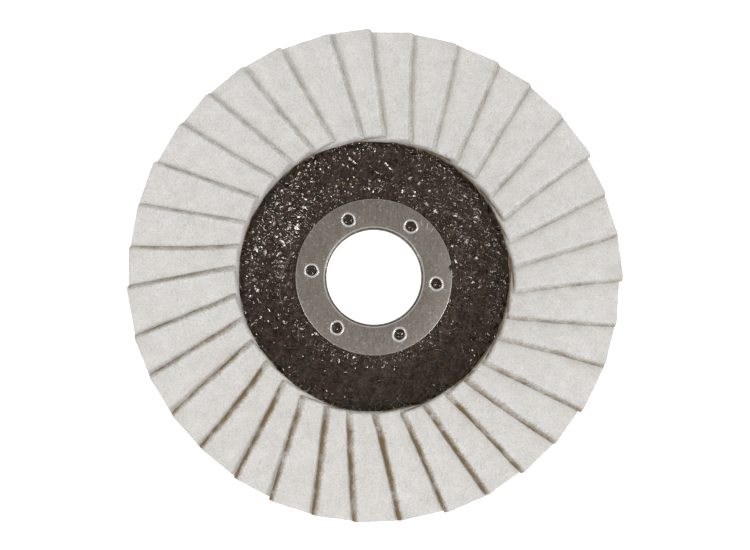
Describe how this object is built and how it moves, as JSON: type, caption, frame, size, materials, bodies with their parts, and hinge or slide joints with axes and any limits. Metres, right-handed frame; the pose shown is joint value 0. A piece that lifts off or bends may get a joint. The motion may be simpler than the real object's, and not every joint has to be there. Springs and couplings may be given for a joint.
{
  "type": "felt flap polishing disc",
  "caption": "Round felt polishing disc of overlapping felt flaps bonded to a sunken-hub glass cloth backing plate, with a punched steel bush for an angle grinder's arbor.",
  "frame": {"origin": "centre of the bore, in the plane of the rear face that seats on the tool's flange", "axes": "+Z along the arbor axis towards the felt side, +Y towards the first flap, +X clockwise from it seen from the felt side"},
  "size_m": [0.1149, 0.1148, 0.0165],
  "materials": {
    "bush_steel": "stamped and tumbled steel, satin, lightly soiled",
    "ring_steel": "stamped steel, satin",
    "glass_cloth_front": "woven glass cloth in dark phenolic resin, glossy over the threads",
    "glass_cloth_rear": "woven glass cloth in dark phenolic resin, semi-gloss",
    "plate_core": "moulded phenolic resin with chopped glass, matt cut edge",
    "adhesive": "cured amber epoxy resin",
    "label_paper": "plain uncoated paper, blank",
    "felt": "pressed off-white wool felt, matt, lightly fuzzy"
  },
  "bodies": {
    "root": {"front_bush": "bush_steel", "rear_ring": "ring_steel", "rear_glass_ply": "glass_cloth_rear", "core_ply": "plate_core", "front_glass_ply": "glass_cloth_front", "adhesive_bed": "adhesive", "rear_label": "label_paper", "flap_01": "felt", "flap_02": "felt", "flap_03": "felt", "flap_04": "felt", "flap_05": "felt", "flap_06": "felt", "flap_07": "felt", "flap_08": "felt", "flap_09": "felt", "flap_10": "felt", "flap_11": "felt", "flap_12": "felt", "flap_13": "felt", "flap_14": "felt", "flap_15": "felt", "flap_16": "felt", "flap_17": "felt", "flap_18": "felt", "flap_19": "felt", "flap_20": "felt", "flap_21": "felt", "flap_22": "felt", "flap_23": "felt", "flap_24": "felt", "flap_25": "felt", "flap_26": "felt", "flap_27": "felt", "flap_28": "felt", "flap_29": "felt", "flap_30": "felt", "flap_31": "felt", "flap_32": "felt", "flap_33": "felt", "flap_34": "felt", "flap_35": "felt"}
  },
  "joints": []
}
